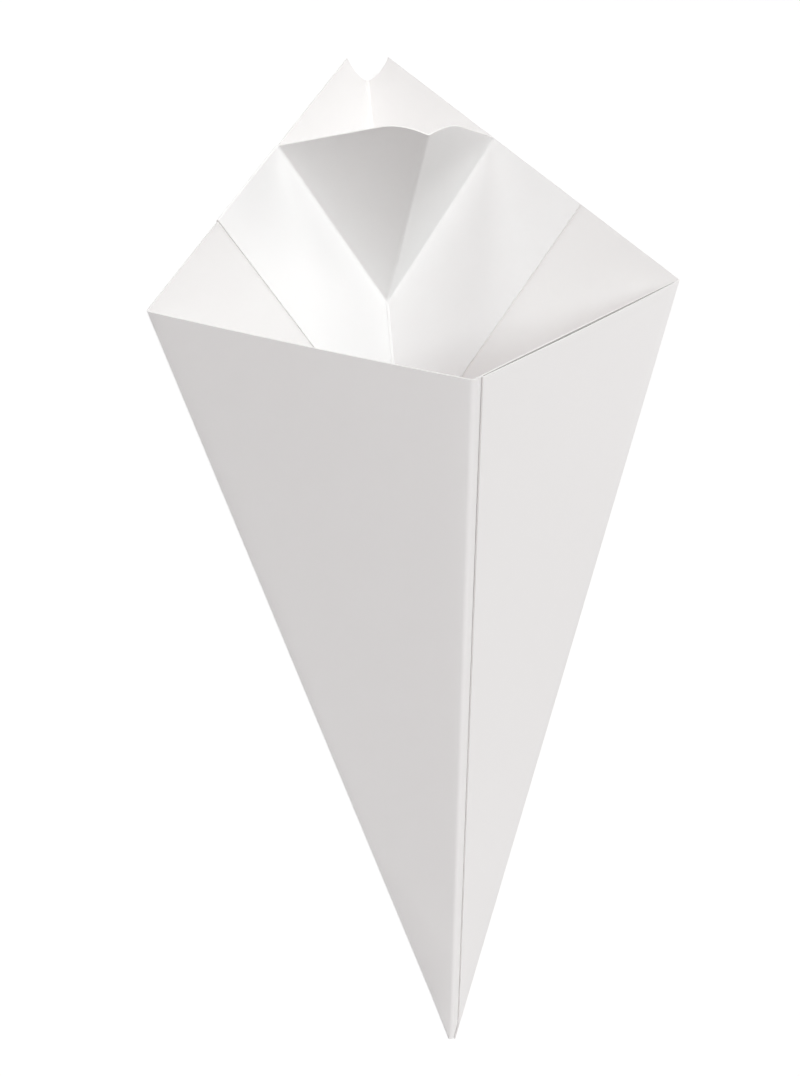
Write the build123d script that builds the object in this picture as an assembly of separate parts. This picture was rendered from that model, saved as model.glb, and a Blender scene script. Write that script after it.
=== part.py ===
"""Fries cone with a dip pocket: one die-cut card blank, folded and glued, lying on its left back panel.

The blank is a square of card whose corner is the cone's tip. Four equal panels fan out from that corner, so the rim
runs straight across two panels and the far corner of the square is the back peak. A fifth panel closes the cone behind
the right front panel. A square flap is turned over the left back rim and its free corner is pushed forward as the
pocket. The cone is built upright, with its tip at the origin and its front towards -Y, and is then laid down.
"""
import os
from math import acos, asin, cos, degrees, radians, sin, sqrt, tan

from build123d import *

# Card and blank, in millimetres
sheet_side = 200.0  # side of the square blank: the cone's front edge, from tip to mouth
mouth_width = 127.0  # left corner to right corner of the opened mouth
card = 0.4  # thickness of the card
fold_radius = 0.7  # outside radius of the four long folds
seam_setback = 2.8  # from the front fold to the cut edge of the right front panel
lap_clearance = 2.0  # from the closing panel's free edge to the right fold
ply_gap = 0.2  # between the closing panel and the right front panel where no glue holds them
glue_inset = 3.0  # how far the glue stops short of the plies' free edges
tip_close = 2.15  # distance of the walls from the axis where the plies close up to a solid tip
tip_blunt = 0.69  # distance of the walls from the axis where the sharp end of the tip is cut off
tip_radius = 0.08  # outside radius of the folds at the cut end of the tip

# Dip pocket, in millimetres and degrees
flap_side = 84.0  # side of the square flap, measured from the back peak
pocket_side = 52.8  # side of the square corner of the flap that is pushed forward
pocket_lean = 2.5  # how far the pocket's front fold leans to the right of the flap's diagonal
left_rim_dip = 5.8  # how far the left half of the pocket's rim slopes down towards the front
right_rim_dip = 1.2  # and its right half
left_straight_share = 0.66  # straight length of that left half, as a share of the pocket's side
right_straight_share = 0.51  # straight length of the right half, as a share of the pocket's side
fold_share = 0.849  # length of the front fold below the rounded rim, as a share of the square's diagonal
notch_radius = 10.8  # round thumb notch at the back peak
straightness = 0.001  # largest sine of the angle between an edge and the fold it belongs to
root_share = 1.4  # how far pocket faces and wings run on into each other at the side folds, as a share of the card

# The square's corner is shared out evenly among the four panels
square_corner = 90.0
panel_count = 4
panel_angle = radians(square_corner / panel_count)
half_corner = radians(square_corner / 2)

# Lengths of the folds and their angles from the cone's axis
side_fold = sheet_side / cos(panel_angle)
back_fold = sheet_side / cos(half_corner)
side_angle = asin(mouth_width / 2 / side_fold)
back_angle = acos(cos(panel_angle) / cos(side_angle))

left_way = Vector(-sin(side_angle), 0, cos(side_angle))
right_way = Vector(sin(side_angle), 0, cos(side_angle))
back_way = Vector(0, sin(back_angle), cos(back_angle))
front_way = Vector(0, -sin(back_angle), cos(back_angle))
back_peak = back_way * back_fold

# Unit normals of the four walls in a level section, and the distance of a wall from the axis for each unit of height
slope_x = tan(side_angle)
slope_y = tan(back_angle)
slope_side = sqrt(slope_x**2 + slope_y**2)
normal_x = slope_y / slope_side
normal_y = slope_x / slope_side
wall_slope = slope_x * slope_y / slope_side
level_stretch = sqrt(1 + wall_slope**2)
tip_length = tip_close / wall_slope
tip_trim = tip_blunt / wall_slope

left_front = (-normal_x, -normal_y)
right_front = (normal_x, -normal_y)
left_back = (-normal_x, normal_y)
right_back = (normal_x, normal_y)

# Depths of the plies below the outside of the walls
lap_depth = card + ply_gap
flap_depth = 2 * card
fold_root = root_share * card


def mirrored(way):
    """A direction reflected from the left of the cone to its right."""
    return Vector(-way.X, way.Y, way.Z)


def meet(height, wall_a, depth_a, wall_b, depth_b):
    """Where two walls, each taken at a depth below its outside, cross in the level section at a height."""
    reach_a = height * wall_slope - depth_a * level_stretch
    reach_b = height * wall_slope - depth_b * level_stretch
    det = wall_a[0] * wall_b[1] - wall_a[1] * wall_b[0]
    x = (reach_a * wall_b[1] - reach_b * wall_a[1]) / det
    y = (wall_a[0] * reach_b - wall_b[0] * reach_a) / det
    return Vector(x, y, height)


def wall_pyramid(depths):
    """Solid between the four walls, each taken at a depth below its outside, from the tip to the back peak."""
    walls = (left_front, left_back, right_back, right_front)
    rings = []
    for height in (tip_length, back_fold):
        ring = [meet(height, walls[side], depths[side], walls[side - 1], depths[side - 1]) for side in range(panel_count)]
        rings.append(ring)
    low, high = rings
    sides = [[low[side - 1], low[side], high[side], high[side - 1]] for side in range(panel_count)]
    faces = [make_face(Polyline(*outline, close=True)).face() for outline in [low, high, *sides]]
    return Solid(Shell(faces))


def rounded(solid, way, point, radius):
    """A solid with one fold rounded: the straight edge along a direction that passes nearest to a point."""
    folds = [edge for edge in solid.edges().filter_by(GeomType.LINE) if (edge % 0).cross(way).length < straightness]
    return fillet(min(folds, key=lambda edge: edge.distance_to(point)), radius)


def tip_section(height, radius):
    """Level section of the closed tip, which is as thick as the walls without the right front panel."""
    points = [
        meet(height, right_front, lap_depth, right_back, 0),
        meet(height, right_back, 0, left_back, 0),
        meet(height, left_back, 0, left_front, 0),
        meet(height, left_front, 0, right_front, lap_depth),
    ]
    return make_face(FilletPolyline(*points, radius=radius, close=True))


# Left back panel: X along its rim, Y from the tip towards the rim, Z into the cone
rim_way = (back_peak - left_way * side_fold).normalized()
climb_way = left_way * 2 * cos(panel_angle) - back_way
left_back_plane = Plane(origin=(0, 0, 0), x_dir=rim_way, z_dir=rim_way.cross(climb_way))
right_back_plane = Plane(
    origin=(0, 0, 0), x_dir=-mirrored(rim_way), z_dir=mirrored(climb_way).cross(mirrored(rim_way))
)

# Right front panel: across it along the rim, and out of the cone
front_across = (right_way * side_fold - front_way * sheet_side).normalized()
front_out = front_across.cross(front_way)


def half_space(plane):
    """A block that stands on a plane and is larger than the whole cone."""
    return plane * Box(2 * back_fold, 2 * back_fold, back_fold, align=(Align.CENTER, Align.CENTER, Align.MIN))


def front_trim():
    """Everything above the front rims, which lie in one plane square to the front edge."""
    rim_height = sheet_side / cos(back_angle)
    profile = [
        (0, rim_height),
        (-back_fold, rim_height - back_fold * tan(back_angle)),
        (-back_fold, 2 * back_fold),
        (0, 2 * back_fold),
    ]
    side_view = Plane(origin=(0, 0, 0), x_dir=(0, 1, 0), z_dir=(1, 0, 0))
    return extrude(side_view * make_face(Polyline(*profile, close=True)), back_fold, both=True)


def back_trim(plane):
    """Everything above the straight rim of a back panel."""
    return half_space(Plane(origin=plane.y_dir * sheet_side, x_dir=plane.x_dir, z_dir=plane.y_dir))


def thumb_notch(plane, keep_side):
    """The quarter round cut from one back panel at the peak, square to the card."""
    cutter = Plane(origin=back_peak, x_dir=plane.x_dir, z_dir=plane.z_dir) * Cylinder(notch_radius, 2 * notch_radius)
    side = Plane(origin=(0, 0, 0), x_dir=(0, 1, 0), z_dir=(keep_side, 0, 0))
    return cutter & half_space(side)


def above_depth(depth):
    """Everything that lies outside a depth below the right front wall."""
    return half_space(Plane(origin=front_out * -depth, x_dir=front_across, z_dir=front_out))


def wrapped_walls():
    """The four walls and the closing panel behind the right front wall, with their folds rounded."""
    outside = wall_pyramid((0, 0, 0, 0))
    hollow = wall_pyramid((card, card, card, lap_depth + card))
    for way in (left_way, back_way, right_way):
        outside = rounded(outside, way, way * sheet_side, fold_radius)
        hollow = rounded(hollow, way, way * sheet_side, fold_radius - card)
    hollow = rounded(hollow, front_way, front_way * sheet_side, fold_radius - card)

    # The front fold is bare for a strip, and the closing panel goes on from there with a gap to the right front wall
    behind = wall_pyramid((0, card, card, card))
    strip = above_depth(lap_depth) & half_space(
        Plane(origin=front_across * seam_setback, x_dir=front_way, z_dir=-front_across)
    )
    free_way = front_across * cos(panel_angle) - front_way * sin(panel_angle)
    free_edge = meet(0, right_front, lap_depth, right_back, card) - free_way * lap_clearance
    lap_end = behind & half_space(Plane(origin=free_edge, x_dir=right_way, z_dir=free_way))
    walls = outside - strip - hollow - (behind & above_depth(lap_depth)) - lap_end
    front_fold = meet(sheet_side, left_front, 0, right_front, lap_depth)
    return rounded(walls, front_way, front_fold, fold_radius)


def wrapped_cone():
    """The wrapped card, trimmed at the rims, the peak and the tip."""
    walls = wrapped_walls() - front_trim()
    for plane, side in ((left_back_plane, -1), (right_back_plane, 1)):
        walls -= back_trim(plane)
        walls -= thumb_notch(plane, side)
    tip = loft([tip_section(tip_trim, tip_radius), tip_section(tip_length, fold_radius)], ruled=True)
    return walls + tip


def glue_layer():
    """Glue between the right front panel and the closing panel, short of their free edges."""
    free_edge = lap_clearance + glue_inset
    left = seam_setback + glue_inset
    top = sheet_side - glue_inset
    bottom = (left * cos(panel_angle) + free_edge) / sin(panel_angle)
    right = (top * sin(panel_angle) - free_edge) / cos(panel_angle)
    plane = Plane(origin=front_out * -card, x_dir=front_across, z_dir=front_out)
    face = plane * make_face(Polyline((left, bottom), (left, top), (right, top), close=True))
    return extrude(face, ply_gap, dir=-front_out)


def back_wing(plane, mirror):
    """The part of the flap that is glued to a back panel, between its cut edge and the pocket's side fold."""
    low = sheet_side - flap_side
    high = sheet_side - pocket_side + fold_root
    outline = [(low, sheet_side), (high, sheet_side), (high, high), (low, low)]
    outline = [(mirror * x, y) for x, y in outline]
    face = Plane(origin=plane.z_dir * card, x_dir=plane.x_dir, z_dir=plane.z_dir) * make_face(
        Polyline(*outline, close=True)
    )
    return extrude(face, card, dir=plane.z_dir)


def rim_turn():
    """The rounded turn of the flap over the left back rim."""
    start = left_back_plane.from_local_coords(Vector(sheet_side - flap_side, sheet_side, card))
    plane = Plane(origin=start, x_dir=left_back_plane.z_dir, z_dir=left_back_plane.x_dir)
    profile = make_face(
        ThreePointArc((-card, 0), (0, -card), (card, 0)) + Line((card, 0), (-card, 0))
    )
    return extrude(plane * profile, flap_side - pocket_side, dir=left_back_plane.x_dir)


def pocket_point():
    """Where both side folds of the pocket meet the back fold, on the face of the flap."""
    along = sheet_side - pocket_side
    up = -(along * rim_way.X + flap_depth * left_back_plane.z_dir.X) / climb_way.X
    return left_back_plane.from_local_coords(Vector(along, up, flap_depth)), up


def pocket_fold_way():
    """Direction of the pocket's front fold: it keeps the angles to both side folds that it has in the flat flap."""
    right_climb = mirrored(climb_way)
    spread = climb_way.dot(right_climb)
    to_left = cos(half_corner + radians(pocket_lean))
    to_right = cos(half_corner - radians(pocket_lean))
    part_left = (to_left - spread * to_right) / (1 - spread**2)
    part_right = (to_right - spread * to_left) / (1 - spread**2)
    flat = climb_way * part_left + right_climb * part_right
    out = climb_way.cross(right_climb)
    rise = sqrt(1 - flat.dot(flat)) / out.length
    return min((flat + out * rise, flat - out * rise), key=lambda way: way.Y)


def pocket_face(side_way, fold_angle, rim_dip, straight_share):
    """One face of the pocket, from its side fold to the front fold, under a rim that is straight and then rounds off."""
    point, up = pocket_point()
    fold_way = pocket_fold_way()
    normal = side_way.cross(fold_way).normalized()
    sauce_side = normal if normal.Y > 0 else -normal
    plane = Plane(origin=point, x_dir=side_way, z_dir=normal)
    if plane.y_dir.dot(fold_way) < 0:
        plane = Plane(origin=point, x_dir=side_way, z_dir=-normal)
    rim = sheet_side - up
    straight = straight_share * pocket_side
    shoulder = (rim - straight * tan(rim_dip), straight)
    fold = fold_share * pocket_side / cos(half_corner)
    valley = (fold * cos(fold_angle), fold * sin(fold_angle))
    edge = Polyline((0, 0), (0, -fold_root), (rim, -fold_root), (rim, 0), shoulder)
    edge += TangentArc(shoulder, valley, tangent=(-sin(rim_dip), cos(rim_dip)))
    edge += Line(valley, (0, 0))
    return extrude(plane * make_face(edge), card, dir=sauce_side)


def folded_blank():
    """The whole folded and glued blank, still upright on its tip."""
    blank = wrapped_cone() + glue_layer()
    blank += back_wing(left_back_plane, 1)
    blank += back_wing(right_back_plane, -1)
    blank += rim_turn()
    lean = radians(pocket_lean)
    blank += pocket_face(climb_way, half_corner + lean, radians(left_rim_dip), left_straight_share)
    blank += pocket_face(mirrored(climb_way), half_corner - lean, radians(right_rim_dip), right_straight_share)
    return blank


def laid_down(blank):
    """The blank lying on its left back panel, mouth towards -X, with the origin under the middle of its box."""
    up = left_back_plane.z_dir
    axis = Vector(0, 0, 1)
    tipwards = (up * up.dot(axis) - axis).normalized()
    lying = Plane(origin=(0, 0, 0), x_dir=tipwards, z_dir=up).to_local_coords(blank)
    box = lying.bounding_box()
    return Pos(-box.center().X, -box.center().Y, -box.min.Z) * lying


os.makedirs("parts", exist_ok=True)
cone = laid_down(folded_blank())
export_step(cone, "parts/fries_cone.step")
print("side fold", round(side_fold, 1), "back fold", round(back_fold, 1), "back angle", round(degrees(back_angle), 2))
print("solids", len(cone.solids()), "volume", round(cone.volume, 1), "box", cone.bounding_box().size)
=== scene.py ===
# %% [markdown]
# # A fries cone with a dip pocket
# The real cone is one die-cut piece of white card. Four panels fan out from the tip, a fifth panel closes the cone
# behind the right front panel, and a square flap is turned over the left back rim to make the dip pocket. The
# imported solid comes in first, because it fixes where everything is.

# %% Load the frame
import math

import bmesh
import bpy
from mathutils import Matrix, Vector


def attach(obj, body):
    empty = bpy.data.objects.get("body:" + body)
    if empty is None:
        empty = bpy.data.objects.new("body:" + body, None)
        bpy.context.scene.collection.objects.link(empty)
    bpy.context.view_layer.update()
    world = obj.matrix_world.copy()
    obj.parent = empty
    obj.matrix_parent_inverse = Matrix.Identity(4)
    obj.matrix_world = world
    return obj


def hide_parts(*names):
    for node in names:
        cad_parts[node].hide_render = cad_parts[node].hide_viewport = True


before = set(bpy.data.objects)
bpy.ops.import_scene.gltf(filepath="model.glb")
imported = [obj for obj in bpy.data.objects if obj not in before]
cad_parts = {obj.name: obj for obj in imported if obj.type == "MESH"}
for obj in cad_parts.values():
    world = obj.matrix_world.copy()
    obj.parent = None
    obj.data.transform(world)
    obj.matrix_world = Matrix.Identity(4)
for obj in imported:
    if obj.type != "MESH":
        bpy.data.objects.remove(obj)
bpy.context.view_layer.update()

# %% [markdown]
# The blank is a square whose corner is the cone's tip. In the flat, a place on it is given by two lengths: how far it
# lies along the rim, and how far it lies up from the tip. The diagonal of the square is the back fold.
# The cone lies on its left back panel, so that panel is already in its final place when the blank is flat on the table.
# The angles of all folds follow from two sizes: the side of the square and the width of the opened mouth.

# %% Sizes of the blank, in metres
mm = 0.001
sheet_side = 199.8 * mm
mouth_width = 126.87 * mm
card = 0.4 * mm
ply_gap = 0.12 * mm
turn_height = 0.82 * mm
seam_setback = 2.4 * mm
tip_strip = 0.8 * mm
lap_clearance = 1.5 * mm
lap_drop = 0.1 * mm
lap_foot = 0.6 * mm
painted_shade_inset = 0.7 * mm
tip_cut = 3.6 * mm
flap_side = 84 * mm
pocket_side = 52.8 * mm
notch_radius = 10.8 * mm
notch_depth = 12.3 * mm
panel_angle = math.radians(22.5)
half_corner = 2 * panel_angle

side_fold = sheet_side / math.cos(panel_angle)
side_angle = math.asin(mouth_width / 2 / side_fold)
back_angle = math.acos(math.cos(panel_angle) / math.cos(side_angle))
left_way = Vector((-math.sin(side_angle), 0, math.cos(side_angle)))
back_way = Vector((0, math.sin(back_angle), math.cos(back_angle)))
climb_up = left_way * 2 * math.cos(panel_angle) - back_way
rim_up = (back_way * sheet_side / math.cos(half_corner) - left_way * side_fold).normalized()
inward_up = rim_up.cross(climb_up)

# %% The upright cone's directions, laid down on the left back panel
upright_axis = Vector((0, 0, 1))
lying_x = (inward_up * inward_up.dot(upright_axis) - upright_axis).normalized()
lying_y = inward_up.cross(lying_x)
laid = Matrix((lying_x, lying_y, inward_up))
tip = Vector((137.956, -0.045, 0.002)) * mm
across = laid @ rim_up
climb = laid @ climb_up


def mirrored(way):
    """An upright direction reflected from the left of the cone to its right."""
    return Vector((-way.x, way.y, way.z))


def spot(along, up):
    """The place of a flat point of the blank on the table."""
    return tip + across * along + climb * up


def flat(point):
    """The two lengths of a point of the flat blank: along the rim, and up from the tip."""
    return (point - tip).dot(across), (point - tip).dot(climb)


back_turn = inward_up.angle(mirrored(inward_up))
side_turn = inward_up.angle(-mirrored(inward_up) + 2 * Vector((0, 0, inward_up.z)))
print("folds turn by", round(math.degrees(back_turn), 1), "and", round(math.degrees(side_turn), 1), "degrees")

# %% [markdown]
# By hand, a sheet is cut along straight lines and creased along others. Bisect does both: it splits the selected faces
# along a line, and it can drop one side. So a few helpers pick faces or edges by their place in the flat and cut them.

# %% Helpers to pick and to cut
same_place = 0.01 * mm
slack = 0.1 * mm


def pick_faces(test):
    """Selects the faces whose middle passes a test in the flat."""
    bpy.ops.mesh.select_all(action="DESELECT")
    bpy.ops.mesh.select_mode(type="FACE")
    sheet = bmesh.from_edit_mesh(bpy.context.object.data)
    for face in sheet.faces:
        face.select_set(test(*flat(face.calc_center_median())))
    bmesh.update_edit_mesh(bpy.context.object.data)


def pick_edges(test):
    """Selects the edges whose two ends both pass a test in the flat."""
    bpy.ops.mesh.select_all(action="DESELECT")
    bpy.ops.mesh.select_mode(type="EDGE")
    sheet = bmesh.from_edit_mesh(bpy.context.object.data)
    for edge in sheet.edges:
        edge.select_set(all(test(*flat(vert.co)) for vert in edge.verts))
    bmesh.update_edit_mesh(bpy.context.object.data)


def cut(test, start, end, drop=False):
    """Splits the picked faces along a line. What lies left of the line, from start to end, can be dropped."""
    pick_faces(test)
    run = spot(*end) - spot(*start)
    left = Vector((-run.y, run.x, 0)).normalized()
    bpy.ops.mesh.bisect(plane_co=spot(*start), plane_no=left, threshold=same_place / 10)
    if drop:
        pick_faces(lambda along, up: test(along, up) and (spot(along, up) - spot(*start)).dot(left) > 0)
        bpy.ops.mesh.delete(type="FACE")


def everywhere(along, up):
    """Passes every face."""
    return True


def near(a, b):
    """Whether two lengths are the same, to a hundredth of a millimetre."""
    return abs(a - b) < same_place


# %% [markdown]
# The square comes first, at its size and place. The panel that closes the cone is pulled out of the edge that becomes
# the front fold, and its free edge is cut slanting. It ends a hair below the rim, and a line on it marks where the
# painted shade of its glued face starts. The right front panel is cut back, so that a strip of the closing panel shows
# beside the front fold. Near the tip only a narrow strip of it is left, beside the right fold. The sharp corner at the
# tip goes too.

# %% The square blank and the closing panel
bpy.ops.object.select_all(action="DESELECT")
bpy.ops.mesh.primitive_plane_add(size=sheet_side, location=spot(sheet_side / 2, sheet_side / 2),
                                 rotation=(0, 0, math.atan2(across.y, across.x)))
cone = bpy.context.object
cone.name = "fries_cone_card"
bpy.ops.object.transform_apply(location=True, rotation=True, scale=True)
bpy.ops.object.mode_set(mode="EDIT")

slope = math.tan(panel_angle)
lap_depth = card + ply_gap
front_fold = lap_depth / math.sin(back_turn)
lap_width = sheet_side * slope
lap_rim = sheet_side - lap_drop
lap_start = front_fold + lap_foot
lap_end = front_fold + lap_clearance / math.cos(panel_angle) - lap_width
pick_edges(lambda along, up: near(along, 0))
bpy.ops.mesh.extrude_region_move(TRANSFORM_OT_translate={"value": across * -lap_width})
cut(lambda along, up: along > 0, (front_fold, 0), (front_fold, sheet_side))
pick_edges(lambda along, up: near(along, 0))
bpy.ops.mesh.dissolve_edges()
cut(lambda along, up: along < front_fold, (lap_start, 0), (lap_end, sheet_side), drop=True)
cut(lambda along, up: along < front_fold, (-lap_width, lap_rim), (front_fold, sheet_side), drop=True)
# The line where the painted shade on the glued face begins, a little behind the right front panel's cut edge.
painted_shade_line = front_fold - seam_setback - painted_shade_inset
cut(lambda along, up: along < front_fold, (painted_shade_line, 0), (painted_shade_line, sheet_side))

# %% The long folds and the cut edges beside them
cut(lambda along, up: along > front_fold, (0, 0), (sheet_side, sheet_side))
cut(lambda along, up: front_fold < along < up, (0, 0), (lap_width, sheet_side))
cut(lambda along, up: along > up, (0, 0), (sheet_side, lap_width))
strip_end = (seam_setback + tip_strip) / slope
cut(lambda along, up: up < along * slope, (strip_end, 0), (strip_end, sheet_side))
cut(lambda along, up: up < along * slope and along > strip_end,
    (sheet_side, seam_setback), (0, seam_setback), drop=True)
cut(lambda along, up: up < along * slope and along < strip_end,
    (strip_end, seam_setback), (0, -tip_strip), drop=True)
tip_line = tip_cut / 2
cut(everywhere, (tip_line, 0), (0, tip_line), drop=True)


def panel_of(along, up):
    """The name of the panel of the square that a flat point lies on."""
    if along < front_fold:
        return "lap"
    if along < up * slope:
        return "left_front"
    if along < up:
        return "left_back"
    return "right_back" if up > along * slope else "right_front"


def count_faces():
    """How many faces the sheet has so far."""
    return len(bmesh.from_edit_mesh(cone.data).faces)


print("creased blank of", count_faces(), "faces")

# %% [markdown]
# Card never stays dead flat, so each panel gets lines that it can bow along. They run out from the tip, as the bow of
# a cone does, and others run parallel to the rim. Near the tip they would crowd together, so they start further out.

# %% Lines for the panels to bow along
SIDES = ("lap", "left_front", "left_back", "right_back", "right_front")
rim_lines_mm = [20, 40, 60, 80, 100, 120, 140, 155, 168, 180, 190, 196]
for up_mm in rim_lines_mm:
    up = up_mm * mm
    cut(lambda a, b: a < b, (-lap_width, up), (sheet_side, up))
    cut(lambda a, b: a > b, (up, 0), (up, sheet_side))
bow_start = 60 * mm
bow_shares = [0.08, 0.2, 0.35, 0.5, 0.65, 0.8, 0.92]
for number, name in enumerate(SIDES):
    for share in bow_shares:
        angle = math.radians(90) + panel_angle * (1 - number - share)
        reach = (2 * sheet_side * math.cos(angle), 2 * sheet_side * math.sin(angle))
        cut(lambda a, b: panel_of(a, b) == name and max(a, b) > bow_start, (0, 0), reach)
print("lined blank of", count_faces(), "faces")

# %% [markdown]
# An oval punch takes the thumb notch out of the far corner. The oval crosses both rims at the same length from the
# corner, and that sets its width. Intersect cuts the outline of one shape into another, so a short oval cylinder serves
# as the punch and is deleted again, with what it has cut out.

# %% The thumb notch
corner = spot(sheet_side, sheet_side)
deep_way = (tip - corner).normalized()
half_width = notch_radius * math.sqrt(0.5 / (1 - 0.5 * (notch_radius / notch_depth) ** 2))
bpy.ops.mesh.select_all(action="DESELECT")
punch_corners = 96
punch_height = 10 * mm
bpy.ops.mesh.primitive_cylinder_add(vertices=punch_corners, radius=1, depth=1, location=corner,
                                    rotation=(0, 0, math.atan2(deep_way.y, deep_way.x)),
                                    scale=(notch_depth, half_width, punch_height))
bpy.ops.mesh.intersect(mode="SELECT_UNSELECT", separate_mode="CUT", solver="EXACT")
bpy.ops.mesh.select_all(action="DESELECT")
bpy.ops.mesh.select_mode(type="FACE")
sheet = bmesh.from_edit_mesh(cone.data)
for face in sheet.faces:
    reach = face.calc_center_median() - corner
    level = all(abs(vert.co.z) < same_place for vert in face.verts)
    deep = reach.dot(deep_way)
    wide_squared = reach.length_squared - deep**2
    face.select_set(not level or (deep / notch_depth) ** 2 + wide_squared / half_width**2 < 1)
bmesh.update_edit_mesh(cone.data)
bpy.ops.mesh.delete(type="FACE")
print("punched blank of", count_faces(), "faces")

# %% [markdown]
# The flap hangs on the left back rim for a third of its side only. It is pulled out of that stretch of rim: first a
# few very narrow strips for the turn, then the wing, and then sideways what becomes the pocket and the right wing.

# %% The flap
wing_edge = sheet_side - flap_side
pocket_edge = sheet_side - pocket_side
turn_strips = 6
turn_step = math.radians(180) / turn_strips
strip = turn_height * math.sin(turn_step / 2)
flap_rim = sheet_side + turn_strips * strip
crease_shift = turn_height * math.tan(back_turn / 2) / math.cos(half_corner)
pocket_foot = flap_rim + sheet_side - (pocket_edge + crease_shift)
pocket_reach = pocket_foot - flap_rim
flap_top = pocket_foot + flap_side - pocket_side
rim_band = 140 * mm
for line in (wing_edge, pocket_edge):
    cut(lambda a, b: panel_of(a, b) == "left_back" and b > rim_band, (line, 0), (line, sheet_side))
pick_edges(lambda a, b: near(b, sheet_side) and wing_edge - slack < a < pocket_edge + slack)
for step in range(turn_strips):
    bpy.ops.mesh.extrude_region_move(TRANSFORM_OT_translate={"value": climb * strip})
bpy.ops.mesh.extrude_region_move(TRANSFORM_OT_translate={"value": climb * (flap_top - flap_rim)})
pick_edges(lambda a, b: near(a, pocket_edge) and b > flap_rim - same_place)
bpy.ops.mesh.extrude_region_move(TRANSFORM_OT_translate={"value": across * pocket_reach})
print("flap", round(flap_side / mm), "mm square, pocket foot at", round(pocket_foot / mm, 2), "mm")

# %% [markdown]
# The pocket is the free corner of the flap. Its front fold leans a little to the right of the flap's diagonal, so the
# two halves of its rim differ: each runs straight first and then rounds off to the fold. A row of short straight cuts
# follows each curve, because the same cutting helper then does for it too.

# %% The flap's folds
pocket_lean = math.radians(2.5)
fold_share = 0.849
foot = (pocket_edge, pocket_foot)
fold_lean = half_corner + pocket_lean
fold_length = fold_share * pocket_side / math.cos(half_corner)
valley = (foot[0] + fold_length * math.sin(fold_lean), foot[1] - fold_length * math.cos(fold_lean))


def in_flap(a, b):
    """Whether a flat point lies on the flap, beyond its turn."""
    return b > flap_rim


def in_pocket(a, b):
    """Whether a flat point lies on the part of the flap that is pushed forward."""
    return a > pocket_edge and flap_rim < b < pocket_foot


cut(lambda a, b: in_flap(a, b) and a < pocket_edge, (wing_edge, flap_top), foot)
cut(lambda a, b: in_flap(a, b) and a > pocket_edge, foot, (sheet_side, pocket_foot))
print("front fold of the pocket", round(fold_length / mm, 1), "mm long")

# %% The rounded rim of the pocket
rim_steps = 9
left_dip, left_straight = 5.8, 0.66 * pocket_side
right_dip, right_straight = 1.2, 0.51 * pocket_side


def rim_points(reach, fold_angle, dip, straight):
    """One half of the pocket's rim, as lengths up and across from its foot: straight, then round to the front fold."""
    lean = math.radians(dip)
    shoulder = Vector((reach - straight * math.tan(lean), straight))
    end = Vector((math.cos(fold_angle), math.sin(fold_angle))) * fold_length
    chord = end - shoulder
    tangent = Vector((-math.sin(lean), math.cos(lean)))
    half_turn = tangent.angle(chord)
    radius = chord.length / 2 / math.sin(half_turn)
    centre = shoulder + Vector((-tangent.y, tangent.x)) * radius
    points = [Vector((reach, 0)), shoulder]
    for step in range(1, rim_steps + 1):
        turned = Matrix.Rotation(2 * half_turn * step / rim_steps, 2)
        points.append(centre + turned @ (shoulder - centre))
    return points


left_half = rim_points(pocket_reach, fold_lean, left_dip, left_straight)
right_half = rim_points(pocket_reach, 2 * half_corner - fold_lean, right_dip, right_straight)
left_rim = [(foot[0] + p.y, foot[1] - p.x) for p in left_half]
right_rim = [(foot[0] + p.x, foot[1] - p.y) for p in right_half]
for start, end in zip(left_rim, left_rim[1:]):
    cut(in_pocket, end, start, drop=True)
for start, end in zip(right_rim, right_rim[1:]):
    cut(in_pocket, start, end, drop=True)
cut(in_pocket, foot, valley)
print("pocket rim meets the fold at", [round(c / mm, 1) for c in valley])

# %% [markdown]
# From here on the sheet is folded, so places in the flat are lost. Each face therefore keeps the number of its panel.

# %% Numbering the panels
TURNS = [f"turn_{step}" for step in range(turn_strips)]
PANELS = ["lap", "glued_lap_painted_shade", "left_front", "left_back", "right_back", "right_front", *TURNS,
          "left_wing", "right_wing", "pocket_left", "pocket_right"]


def part_of(along, up):
    """The name of the panel or of the flap's part that a flat point lies on."""
    if along < painted_shade_line:
        return "glued_lap_painted_shade"
    if up < sheet_side:
        return panel_of(along, up)
    if up < flap_rim:
        return TURNS[int((up - sheet_side) / strip)]
    if along + up > sum(foot) and (along < pocket_edge or up > pocket_foot):
        return "right_wing"
    if along < pocket_edge:
        return "left_wing"
    right_of_fold = (along - foot[0]) * math.cos(fold_lean) > (foot[1] - up) * math.sin(fold_lean)
    return "pocket_right" if right_of_fold else "pocket_left"


sheet = bmesh.from_edit_mesh(cone.data)
number = sheet.faces.layers.int.new("panel")
for face in sheet.faces:
    face[number] = PANELS.index(part_of(*flat(face.calc_center_median())))
bmesh.update_edit_mesh(cone.data)


def pick_panels(names):
    """Selects all faces of the named panels."""
    bpy.ops.mesh.select_all(action="DESELECT")
    bpy.ops.mesh.select_mode(type="FACE")
    sheet = bmesh.from_edit_mesh(cone.data)
    number = sheet.faces.layers.int["panel"]
    for face in sheet.faces:
        if PANELS[face[number]] in names:
            face.select_set(True)
    bmesh.update_edit_mesh(cone.data)


def pick_folds(pairs):
    """Selects the edges where two panels of a listed pair meet."""
    bpy.ops.mesh.select_all(action="DESELECT")
    bpy.ops.mesh.select_mode(type="EDGE")
    sheet = bmesh.from_edit_mesh(cone.data)
    number = sheet.faces.layers.int["panel"]
    for edge in sheet.edges:
        meeting = {PANELS[face[number]] for face in edge.link_faces}
        if meeting in pairs:
            edge.select_set(True)
    bmesh.update_edit_mesh(cone.data)


for name in PANELS:
    pick_panels([name])
    print(name, sum(face.select for face in bmesh.from_edit_mesh(cone.data).faces), "faces")
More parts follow.
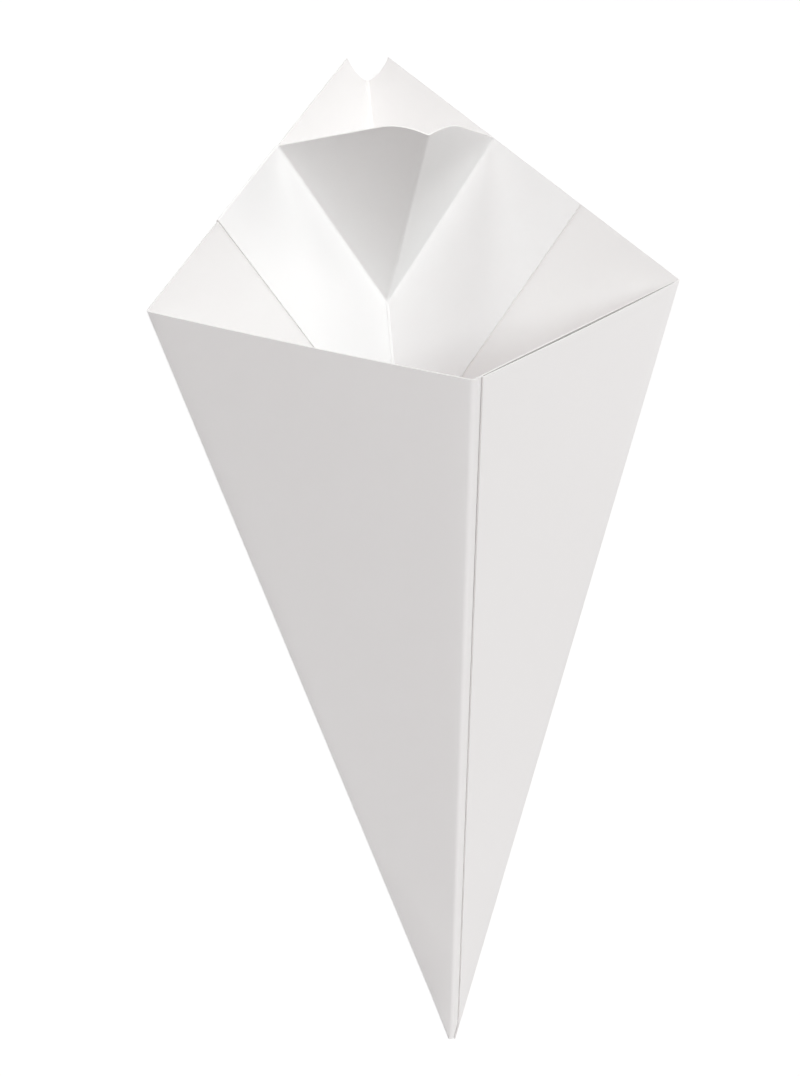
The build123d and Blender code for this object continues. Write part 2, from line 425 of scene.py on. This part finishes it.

# %% [markdown]
# The panels aren't left flat. The two front panels stand out a little between their folds, most at the rim, and the
# closing panel falls away inwards behind the right front panel, which leaves the fine gap along the rim. The gap is
# darkened by painted shade on the glued face behind it. In the flat, that is a small lift of each crossing of the bow
# lines off the table: the outside of the card faces down, so a lift goes inwards.

# %% Bowing the panels
def pick_points(spots):
    """Selects the vertices at a list of flat places."""
    bpy.ops.mesh.select_all(action="DESELECT")
    bpy.ops.mesh.select_mode(type="VERT")
    sheet = bmesh.from_edit_mesh(cone.data)
    for vert in sheet.verts:
        along, up = flat(vert.co)
        if any(near(along, a) and near(up, b) for a, b in spots):
            vert.select_set(True)
    bmesh.update_edit_mesh(cone.data)


held_share = 0.97
fall_power = 0.4
reach_power = 1.5
left_front_bow = -0.8 * mm
right_front_bow = -0.5 * mm
lap_bow = 0.2 * mm


def stand_out(share):
    """The bow of a panel that both its folds hold: most in the middle."""
    return 4 * share * (1 - share)


def fall_away(share):
    """The bow of the closing panel: held at the front fold, and loose at its free edge."""
    return max(0, 1 - share / held_share) ** fall_power


def bow(name, lift, shape):
    """Lifts the inside of a panel off the table, by the full lift at the rim and less towards the tip."""
    order = SIDES.index(name)
    sheet = bmesh.from_edit_mesh(cone.data)
    moved = 0
    for along, up in [flat(vert.co) for vert in sheet.verts]:
        share = 1 - order - (math.atan2(up, along) - math.radians(90)) / panel_angle
        reach = max(along, up)
        if 0 <= share <= 1 and bow_start < reach < sheet_side + same_place:
            rise = lift * shape(share) * ((reach - bow_start) / (sheet_side - bow_start)) ** reach_power
            pick_points([(along, up)])
            bpy.ops.transform.translate(value=(0, 0, rise))
            moved += 1
    print(name, "bowed by", round(lift / mm, 2), "mm at", moved, "places")


bow("left_front", left_front_bow, stand_out)
bow("right_front", right_front_bow, stand_out)
bow("lap", lap_bow, fall_away)

# %% [markdown]
# Each fold is a turn about its crease, by the angle worked out from the mouth's width. The flap is folded first, while
# it is easy to reach: the pocket's two faces swing out, the right wing follows the back fold, and the flap goes over
# the rim. The pocket's front fold is slit for that and joined again, because its two faces swing about different lines.

# %% Folding the flap
def fold(names, start, end, angle):
    """Turns the named panels about the crease from start to end, by the right-hand rule."""
    pick_panels(names)
    axis = (spot(*end) - spot(*start)).normalized()
    side = Vector((0, 0, 1)).cross(axis)
    turned = Matrix((side, axis.cross(side), axis)).transposed()
    bpy.ops.transform.rotate(value=angle, orient_axis="Z", orient_type="GLOBAL", orient_matrix=turned,
                             orient_matrix_type="GLOBAL", constraint_axis=(False, False, True),
                             center_override=spot(*start))


def pocket_fold_way():
    """The upright direction of the pocket's front fold: it keeps its angles to both side folds."""
    right_climb = mirrored(climb_up)
    spread = climb_up.dot(right_climb)
    to_left, to_right = math.cos(fold_lean), math.cos(2 * half_corner - fold_lean)
    level = (climb_up * (to_left - spread * to_right) + right_climb * (to_right - spread * to_left)) / (1 - spread**2)
    out = climb_up.cross(right_climb).normalized() * math.sqrt(1 - level.dot(level))
    return min((level + out, level - out), key=lambda way: way.y)


def swing(fold_way, rim, climbing, inward):
    """How far a pocket face swings forward from its wing."""
    lean = fold_way - climbing * fold_way.dot(climbing)
    return math.atan2(lean.dot(inward), lean.dot(rim))


fold_way = pocket_fold_way()
left_swing = swing(fold_way, rim_up, climb_up, inward_up)
right_swing = swing(fold_way, mirrored(rim_up), mirrored(climb_up), mirrored(inward_up))
pick_folds([{"pocket_left", "pocket_right"}])
bpy.ops.mesh.edge_split(type="EDGE")
fold(["pocket_right"], foot, (sheet_side, pocket_foot), right_swing)
fold(["right_wing", "pocket_right"], foot, (wing_edge, flap_top), back_turn)
fold(["pocket_left"], foot, (pocket_edge, 0), -left_swing)
flap_parts = ["left_wing", "right_wing", "pocket_left", "pocket_right"]
for step in range(turn_strips, -1, -1):
    line = sheet_side + step * strip
    angle = turn_step if 0 < step < turn_strips else turn_step / 2
    fold(TURNS[step:] + flap_parts, (0, line), (sheet_side, line), angle)
print("pocket faces swing by", round(math.degrees(left_swing), 1), "and", round(math.degrees(right_swing), 1))

# %% Folding the cone
fold(["right_front"], (0, 0), (sheet_side, lap_width), -side_turn)
fold(["right_back", "right_front"], (0, 0), (sheet_side, sheet_side), -back_turn)
fold(["lap", "glued_lap_painted_shade"], (front_fold, 0), (front_fold, sheet_side), back_turn)
fold(["left_front", "lap", "glued_lap_painted_shade"], (0, 0), (lap_width, sheet_side), side_turn)
bpy.ops.mesh.select_all(action="SELECT")
bpy.ops.mesh.remove_doubles(threshold=same_place)
print("folded card of", count_faces(), "faces")

# %% [markdown]
# Card doesn't fold to a knife edge: the outside of a fold is a small round, widest on the front and back folds. Bevel
# makes these rounds on the folded sheet, and each fold's bevel weight gives its share of the widest round. At the tip
# the rounds crowd together, so the tip is cut off after them.

# %% Rounding the folds
widest_round = 0.9 * mm
pocket_round = 0.7 * mm
side_round = 0.55 * mm
round_steps = 5


def weigh_folds(pairs, offset):
    """Gives the folds between the listed panels their share of the widest round."""
    pick_folds(pairs)
    bpy.ops.transform.edge_bevelweight(value=offset / widest_round)


weigh_folds([{"left_front", "left_back"}, {"right_back", "right_front"}], side_round)
weigh_folds([{"lap", "left_front"}, {"left_back", "right_back"}, {"left_wing", "right_wing"}], widest_round)
weigh_folds([{"left_wing", "pocket_left"}, {"right_wing", "pocket_right"}, {"pocket_left", "pocket_right"}],
            pocket_round)
bpy.ops.object.mode_set(mode="OBJECT")
rounds = cone.modifiers.new("fold rounds", "BEVEL")
rounds.limit_method = "WEIGHT"
rounds.offset_type = "OFFSET"
rounds.width = widest_round
rounds.segments = round_steps
rounds.use_clamp_overlap = False
bpy.ops.object.modifier_apply(modifier=rounds.name)
bpy.ops.object.mode_set(mode="EDIT")
bpy.ops.mesh.select_all(action="SELECT")
axis = laid @ upright_axis
bpy.ops.mesh.bisect(plane_co=tip + axis * tip_cut, plane_no=-axis, clear_outer=True)
bpy.ops.mesh.select_all(action="SELECT")
bpy.ops.mesh.remove_doubles(threshold=same_place / 2)
print("rounded card of", count_faces(), "faces")

# %% [markdown]
# A crease is pressed into the card before it is folded, and that leaves a low bead along the inside of the fold. It
# shows as a fine double line where the back fold comes out above the pocket, and again below it between the wings.
# The rows in the middle of each round are pushed inwards for it.

# %% The beads of the back folds
inwards = laid @ (inward_up + mirrored(inward_up)).normalized()
crease_way = laid @ back_way
pocket_end = spot(pocket_edge, pocket_edge + crease_shift) + Vector((0, 0, turn_height))
bead_height = 0.4 * mm
bead_reach = 0.45 * mm
above_pocket = 4 * mm
below_pocket = 2 * mm
past_rim = 300 * mm
past_wings = 60 * mm


def raise_bead(start, near_end, far_end, height):
    """Pushes the middle of a round inwards, between two lengths from a place on the crease towards the rim."""
    bpy.ops.mesh.select_all(action="DESELECT")
    bpy.ops.mesh.select_mode(type="VERT")
    sheet = bmesh.from_edit_mesh(cone.data)
    for vert in sheet.verts:
        run = (vert.co - start).dot(crease_way)
        off = (vert.co - start - crease_way * run).length
        vert.select_set(off < bead_reach and near_end < run < far_end)
    bmesh.update_edit_mesh(cone.data)
    bpy.ops.transform.translate(value=inwards * height)
    print("bead of", sum(vert.select for vert in sheet.verts), "places")


back_run = (pocket_end - tip).dot(crease_way)
raise_bead(tip, back_run + above_pocket, past_rim, bead_height)
raise_bead(pocket_end, -past_wings, -below_pocket, bead_height)

# %% [markdown]
# So far the sheet has no thickness. Solidify gives it that of the card, towards the inside of the cone, so that the
# outside stays where the solid has it. It also gives the inner face and the cut edges a material of their own.

# %% The thickness of the card
FINISHES = ("card_outside", "card_inside", "card_cut_edge", "card_painted_shade")
bpy.ops.mesh.select_all(action="SELECT")
bpy.ops.mesh.flip_normals()
bpy.ops.object.mode_set(mode="OBJECT")
for name in FINISHES:
    cone.data.materials.append(bpy.data.materials.new(name))
for polygon in cone.data.polygons:
    polygon.material_index = FINISHES.index("card_outside")
wall = cone.modifiers.new("card thickness", "SOLIDIFY")
wall.thickness = card
wall.offset = -1
wall.use_even_offset = True
wall.material_offset = FINISHES.index("card_inside")
wall.material_offset_rim = FINISHES.index("card_cut_edge")
bpy.ops.object.modifier_apply(modifier=wall.name)
print("card of", round(card / mm, 2), "mm with", len(cone.data.polygons), "faces")

# %% [markdown]
# At the blunt tip the rounds leave a corner just below the table. It is pressed up to the level of the panel that the
# cone lies on. After that, soft shading is set for the rounds, while the sharp cut edges stay sharp. The face that is
# glued behind the right front panel gets a finish of its own: a grey that paints in the shade of the gap along the rim,
# where it shows.

# %% The tip, the shading and the glued face
bpy.ops.object.mode_set(mode="EDIT")
bpy.ops.mesh.select_all(action="DESELECT")
bpy.ops.mesh.select_mode(type="VERT")
sheet = bmesh.from_edit_mesh(cone.data)
lowest = min(vert.co.z for vert in sheet.verts)
for vert in sheet.verts:
    vert.select_set(vert.co.z < 0)
bmesh.update_edit_mesh(cone.data)
bpy.ops.transform.translate(value=(0, 0, tip.z - min(lowest, 0)))
bpy.ops.object.mode_set(mode="OBJECT")
smooth_angle = math.radians(25)
bpy.ops.object.shade_smooth_by_angle(angle=smooth_angle)
panel_numbers = cone.data.attributes["panel"].data
# The outside of the glued part of the closing panel takes a darker finish, as painted shade for the gap along the rim.
for polygon in cone.data.polygons:
    outside = polygon.material_index == FINISHES.index("card_outside")
    if outside and PANELS[panel_numbers[polygon.index].value] == "glued_lap_painted_shade":
        polygon.material_index = FINISHES.index("card_painted_shade")
corners = [vert.co for vert in cone.data.vertices]
low = Vector([min(corner[axis] for corner in corners) for axis in range(3)])
high = Vector([max(corner[axis] for corner in corners) for axis in range(3)])
print("card box", [round(c / mm, 2) for c in (*low, *high)], "with", len(cone.data.polygons), "faces")
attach(cone, "root")
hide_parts("fries_cone")

# %% [markdown]
# The card is white on both sides, with a smooth coating outside and a slightly drier face inside. Even white card isn't
# one flat colour: its fibres show as a very fine grain, and the coating lies a little unevenly.
# All four finishes use this grain, so it is a node group that each material takes with its own values.

# %% The grain of the card
cloud_share, fibre_share = 0.55, 0.45
grain = bpy.data.node_groups.new("card_grain", "ShaderNodeTree")
for name in ("Light", "Dark"):
    grain.interface.new_socket(name, in_out="INPUT", socket_type="NodeSocketColor")
for name in ("Cloud Size", "Fibre Size", "Gloss Low", "Gloss High"):
    grain.interface.new_socket(name, in_out="INPUT", socket_type="NodeSocketFloat")
grain.interface.new_socket("Color", in_out="OUTPUT", socket_type="NodeSocketColor")
for name in ("Roughness", "Height"):
    grain.interface.new_socket(name, in_out="OUTPUT", socket_type="NodeSocketFloat")


def add_node(tree, kind, place, **values):
    """Adds a node and sets its plain properties."""
    node = tree.nodes.new(kind)
    node.location = place
    for key, value in values.items():
        setattr(node, key, value)
    return node


inlet = add_node(grain, "NodeGroupInput", (-900, 0))
outlet = add_node(grain, "NodeGroupOutput", (500, 0))
place = add_node(grain, "ShaderNodeTexCoord", (-900, -300))
clouds = add_node(grain, "ShaderNodeTexNoise", (-600, 200))
clouds.inputs["Detail"].default_value = 4
clouds.inputs["Roughness"].default_value = 0.6
fibres = add_node(grain, "ShaderNodeTexNoise", (-600, -200))
fibres.inputs["Detail"].default_value = 3
fibres.inputs["Roughness"].default_value = 0.7
blend = add_node(grain, "ShaderNodeMath", (-300, 100), operation="MULTIPLY_ADD")
blend.inputs[1].default_value = cloud_share
tint = add_node(grain, "ShaderNodeMix", (200, 200), data_type="RGBA")
gloss = add_node(grain, "ShaderNodeMapRange", (200, -100))
fibre_part = add_node(grain, "ShaderNodeMath", (-450, 0), operation="MULTIPLY")
fibre_part.inputs[1].default_value = fibre_share

# %% Linking the grain
grain.links.new(place.outputs["Object"], clouds.inputs["Vector"])
grain.links.new(place.outputs["Object"], fibres.inputs["Vector"])
grain.links.new(inlet.outputs["Cloud Size"], clouds.inputs["Scale"])
grain.links.new(inlet.outputs["Fibre Size"], fibres.inputs["Scale"])
grain.links.new(fibres.outputs["Fac"], fibre_part.inputs[0])
grain.links.new(clouds.outputs["Fac"], blend.inputs[0])
grain.links.new(fibre_part.outputs["Value"], blend.inputs[2])
grain.links.new(blend.outputs["Value"], tint.inputs["Factor"])
grain.links.new(inlet.outputs["Dark"], tint.inputs["A"])
grain.links.new(inlet.outputs["Light"], tint.inputs["B"])
grain.links.new(clouds.outputs["Fac"], gloss.inputs["Value"])
grain.links.new(inlet.outputs["Gloss Low"], gloss.inputs["To Min"])
grain.links.new(inlet.outputs["Gloss High"], gloss.inputs["To Max"])
grain.links.new(tint.outputs["Result"], outlet.inputs["Color"])
grain.links.new(gloss.outputs["Result"], outlet.inputs["Roughness"])
grain.links.new(fibres.outputs["Fac"], outlet.inputs["Height"])
print("grain group with", len(grain.nodes), "nodes")

# %% [markdown]
# The outside is coated and a little glossier, the inside is drier, and the cut edge is raw. The glued face is painted
# grey, as painted shade for the narrow gap along the right front panel's rim. Each is the Principled shader with the
# grain on its colour and its roughness, and as a bump on its surface.

# %% The four finishes
relief_depth = 0.05 * mm


def finish_card(name, values, bump, specular):
    """Builds one finish of the card from the grain group."""
    material = bpy.data.materials[name]
    material.use_nodes = True
    tree = material.node_tree
    surface = tree.nodes["Principled BSDF"]
    surface.inputs["Specular IOR Level"].default_value = specular
    card_grain = add_node(tree, "ShaderNodeGroup", (-500, 100), node_tree=grain)
    for key, value in values.items():
        card_grain.inputs[key].default_value = value
    relief = add_node(tree, "ShaderNodeBump", (-250, -200))
    relief.inputs["Strength"].default_value = bump
    relief.inputs["Distance"].default_value = relief_depth
    tree.links.new(card_grain.outputs["Color"], surface.inputs["Base Color"])
    tree.links.new(card_grain.outputs["Roughness"], surface.inputs["Roughness"])
    tree.links.new(card_grain.outputs["Height"], relief.inputs["Height"])
    tree.links.new(relief.outputs["Normal"], surface.inputs["Normal"])
    print(name, "finished")


finish_card("card_outside", {"Light": (0.93, 0.927, 0.923, 1), "Dark": (0.905, 0.901, 0.897, 1), "Cloud Size": 60,
                             "Fibre Size": 2500, "Gloss Low": 0.5, "Gloss High": 0.62}, 0.25, 0.35)
finish_card("card_inside", {"Light": (0.905, 0.895, 0.888, 1), "Dark": (0.88, 0.868, 0.86, 1), "Cloud Size": 80,
                            "Fibre Size": 1800, "Gloss Low": 0.7, "Gloss High": 0.85}, 0.35, 0.25)
finish_card("card_cut_edge", {"Light": (0.93, 0.92, 0.91, 1), "Dark": (0.86, 0.85, 0.84, 1), "Cloud Size": 400,
                              "Fibre Size": 6000, "Gloss Low": 0.85, "Gloss High": 0.95}, 0.6, 0.1)
# This grey is painted shade: it darkens the gap along the right front panel's rim, which the lamps light.
finish_card("card_painted_shade", {"Light": (0.58, 0.57, 0.56, 1), "Dark": (0.5, 0.49, 0.48, 1), "Cloud Size": 120,
                           "Fibre Size": 900, "Gloss Low": 0.45, "Gloss High": 0.7}, 0.3, 0.2)

# %% [markdown]
# The photograph is a cut-out on white. The floor is pale and takes the cone's soft shadow. Where it is seen, by the
# camera, in a gloss or through glass, it also glows a little, so that it comes out white without any more light on the
# card. The floor lies a hair below the card, so that the two don't fight for the same place.

# %% A mask for what is seen
def seen_rays(tree, left, top):
    """A mask of the rays that show a surface: from the camera, in a gloss, or through glass."""
    path_kind = add_node(tree, "ShaderNodeLightPath", (left, top))
    either = add_node(tree, "ShaderNodeMath", (left + 200, top), operation="MAXIMUM")
    any_seen = add_node(tree, "ShaderNodeMath", (left + 400, top), operation="MAXIMUM")
    tree.links.new(path_kind.outputs["Is Camera Ray"], either.inputs[0])
    tree.links.new(path_kind.outputs["Is Glossy Ray"], either.inputs[1])
    tree.links.new(either.outputs["Value"], any_seen.inputs[0])
    tree.links.new(path_kind.outputs["Is Transmission Ray"], any_seen.inputs[1])
    return any_seen.outputs["Value"]


print("mask ready for the floor and the room")

# %% The floor
floor_size = 6
floor_drop = 0.4 * mm
floor_glow = 0.8
bpy.ops.object.select_all(action="DESELECT")
bpy.ops.mesh.primitive_plane_add(size=floor_size, location=(0, 0, -floor_drop))
floor = bpy.context.object
floor.name = "floor"
floor_paint = bpy.data.materials.new("floor_paint")
floor_paint.use_nodes = True
floor.data.materials.append(floor_paint)
tree = floor_paint.node_tree
tree.nodes.clear()
matt = add_node(tree, "ShaderNodeBsdfDiffuse", (-200, 200))
matt.inputs["Color"].default_value = (0.6, 0.6, 0.6, 1)
seen = add_node(tree, "ShaderNodeBsdfDiffuse", (-200, 0))
seen.inputs["Color"].default_value = (0.25, 0.25, 0.25, 1)
glow = add_node(tree, "ShaderNodeEmission", (-200, -200))
glow.inputs["Color"].default_value = (1, 1, 1, 1)
glow.inputs["Strength"].default_value = floor_glow
lit = add_node(tree, "ShaderNodeAddShader", (50, -100))
choose = add_node(tree, "ShaderNodeMixShader", (250, 100))
out = add_node(tree, "ShaderNodeOutputMaterial", (450, 100))
tree.links.new(seen.outputs["BSDF"], lit.inputs[0])
tree.links.new(glow.outputs["Emission"], lit.inputs[1])
tree.links.new(seen_rays(tree, -500, 450), choose.inputs["Fac"])
tree.links.new(matt.outputs["BSDF"], choose.inputs[1])
tree.links.new(lit.outputs["Shader"], choose.inputs[2])
tree.links.new(choose.outputs["Shader"], out.inputs["Surface"])
print("floor of", floor.dimensions.x, "m")

# %% [markdown]
# The light is that of a white studio. Three large soft lamps stand above the cone, in front of it and before its mouth.
# A small near one lifts the tip, and two behind keep the back from going dark. The room itself gives only a faint warm
# fill, which tints the shadows as in the photograph, and is white where it is seen.

# %% The room
scene = bpy.context.scene
scene.view_settings.view_transform = "Standard"
world = bpy.data.worlds.new("white_room")
scene.world = world
world.use_nodes = True
room = world.node_tree.nodes["Background"]
room.inputs["Strength"].default_value = 1
shade = add_node(world.node_tree, "ShaderNodeMix", (-250, 100), data_type="RGBA")
shade.inputs["A"].default_value = (0.125, 0.09, 0.085, 1)
shade.inputs["B"].default_value = (1, 1, 1, 1)
world.node_tree.links.new(seen_rays(world.node_tree, -850, 100), shade.inputs["Factor"])
world.node_tree.links.new(shade.outputs["Result"], room.inputs["Color"])
print("room", world.name)

# %% The lamps
def soft_lamp(name, way, distance, size, energy, color=(1, 1, 1)):
    """A square soft lamp that shines at the cone from a direction."""
    bpy.ops.object.light_add(type="AREA", location=Vector(way).normalized() * distance)
    lamp = bpy.context.object
    lamp.name = name
    lamp.rotation_euler = Vector(way).to_track_quat("Z", "Y").to_euler()
    lamp.data.size = size
    lamp.data.energy = energy
    lamp.data.color = color
    print(name, "of", energy, "W")


soft_lamp("top_lamp", (-0.08, -0.33, 0.94), 3.0, 0.8, 32.5, (0.92, 1, 1))
soft_lamp("front_lamp", (-0.3, -0.6, 0.74), 3.0, 0.9, 29.8, (1, 0.96, 0.97))
soft_lamp("mouth_lamp", (-0.95, -0.2, 0.22), 3.0, 1.2, 30, (0.95, 1, 1))
soft_lamp("tip_lamp", (0.75, -0.05, 0.66), 0.4, 0.2, 0.17)
soft_lamp("back_lamp", (0.15, 0.98, 0.12), 3.0, 1.5, 18)
soft_lamp("upper_back_lamp", (-0.1, 0.5, 0.86), 3.0, 1.5, 12.5)

# %% [markdown]
# The camera stands where the photograph was taken from, found by matching the cone's corners to it. It is turned on
# its side, because the photograph shows the cone with its tip down, and here it lies.

# %% The camera
bpy.ops.object.camera_add(location=(-0.0477149, -0.2194465, 0.2135812),
                          rotation=[math.radians(angle) for angle in (5.34009, -48.62963, 72.59768)])
camera = bpy.context.object
camera.data.sensor_width = 36
camera.data.lens = 39.319
camera.data.clip_start = 0.01
scene.camera = camera
print("camera", round(camera.location.length, 3), "m away")
